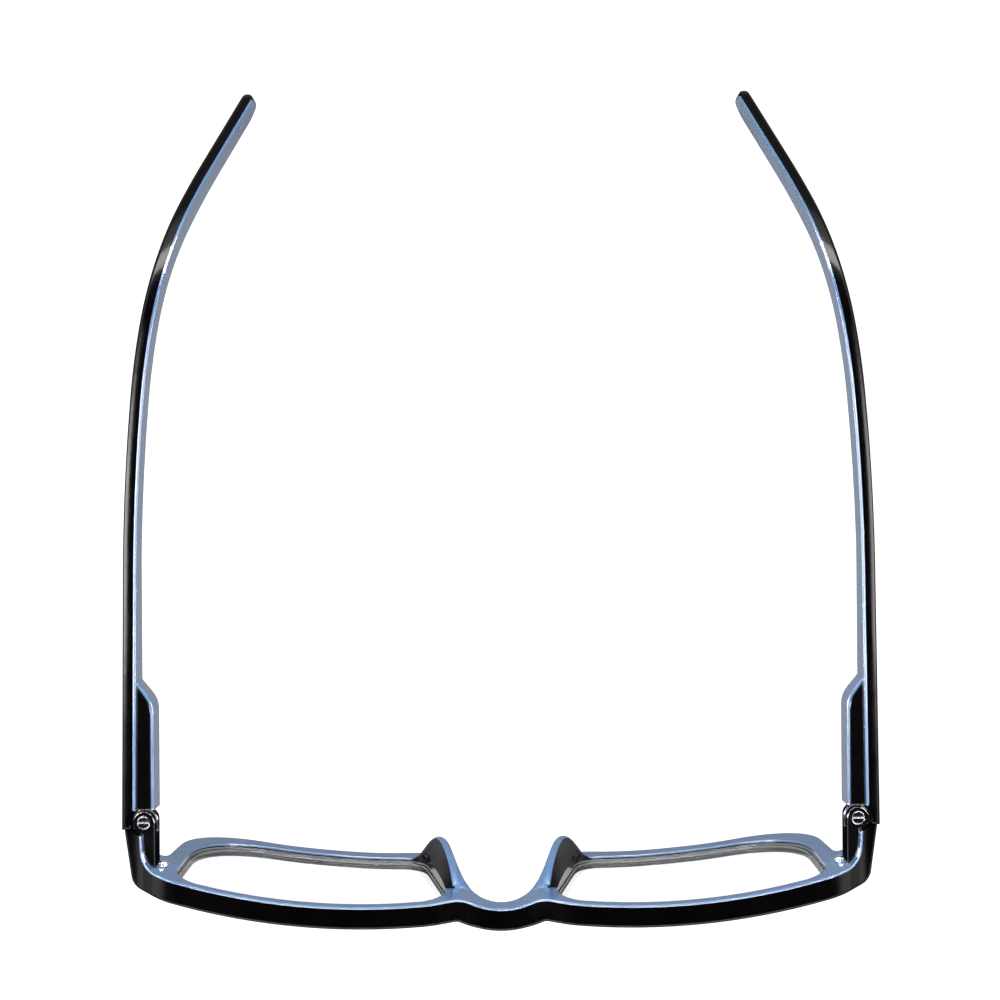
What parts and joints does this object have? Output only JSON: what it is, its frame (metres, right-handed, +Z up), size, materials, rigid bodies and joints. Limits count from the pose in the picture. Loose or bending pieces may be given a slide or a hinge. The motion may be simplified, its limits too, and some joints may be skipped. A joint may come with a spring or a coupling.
{
  "type": "rectangular eyeglasses",
  "caption": "Rectangular full-rim eyeglasses with clear lenses, moulded nose pads, a pale inner layer and sprung hinges on which the temples fold.",
  "frame": {"origin": "on the table under the middle of the glasses' box", "axes": "+Z up, the front faces -Y and the temples run back along +Y, +X towards the right temple as seen from above with the front nearest"},
  "size_m": [0.136, 0.1555, 0.0332],
  "materials": {
    "black_frame": "polished black",
    "blue_layer": "polished pale blue",
    "clear_lens": "clear",
    "hinge_black": "gloss black",
    "silver_screw": "bright",
    "steel": "plain"
  },
  "bodies": {
    "front": {"front_frame": "black_frame", "front_inner_layer": "blue_layer", "lens_left": "clear_lens", "hinge_arm_left": "hinge_black", "arm_screw_left": "silver_screw", "hinge_screw_left": "hinge_black", "lens_right": "clear_lens", "hinge_arm_right": "hinge_black", "arm_screw_right": "silver_screw", "hinge_screw_right": "hinge_black"},
    "slider_left": {"hinge_slider_left": "steel", "slider_nut_left": "steel"},
    "temple_left": {"temple_outer_left": "black_frame", "temple_inner_left": "blue_layer", "temple_core_left": "steel", "hinge_housing_left": "hinge_black", "hinge_spring_left": "steel"},
    "slider_right": {"hinge_slider_right": "steel", "slider_nut_right": "steel"},
    "temple_right": {"temple_outer_right": "black_frame", "temple_inner_right": "blue_layer", "temple_core_right": "steel", "hinge_housing_right": "hinge_black", "hinge_spring_right": "steel"}
  },
  "joints": [
    {"name": "fold_left", "type": "hinge", "parent": "front", "child": "slider_left", "pos_m": [-0.06425, -0.05825, 0.0269], "axis": [0, 0, -1], "range_deg": [0, 86]},
    {"name": "pull_left", "type": "slide", "parent": "slider_left", "child": "temple_left", "axis": [0, 1, 0], "range_m": [0, 0.0012], "stiffness_N_per_m": 1000, "springref_m": -0.001},
    {"name": "fold_right", "type": "hinge", "parent": "front", "child": "slider_right", "pos_m": [0.06425, -0.05825, 0.0269], "axis": [0, 0, 1], "range_deg": [0, 72]},
    {"name": "pull_right", "type": "slide", "parent": "slider_right", "child": "temple_right", "axis": [0, 1, 0], "range_m": [0, 0.0012], "stiffness_N_per_m": 1000, "springref_m": -0.001}
  ]
}
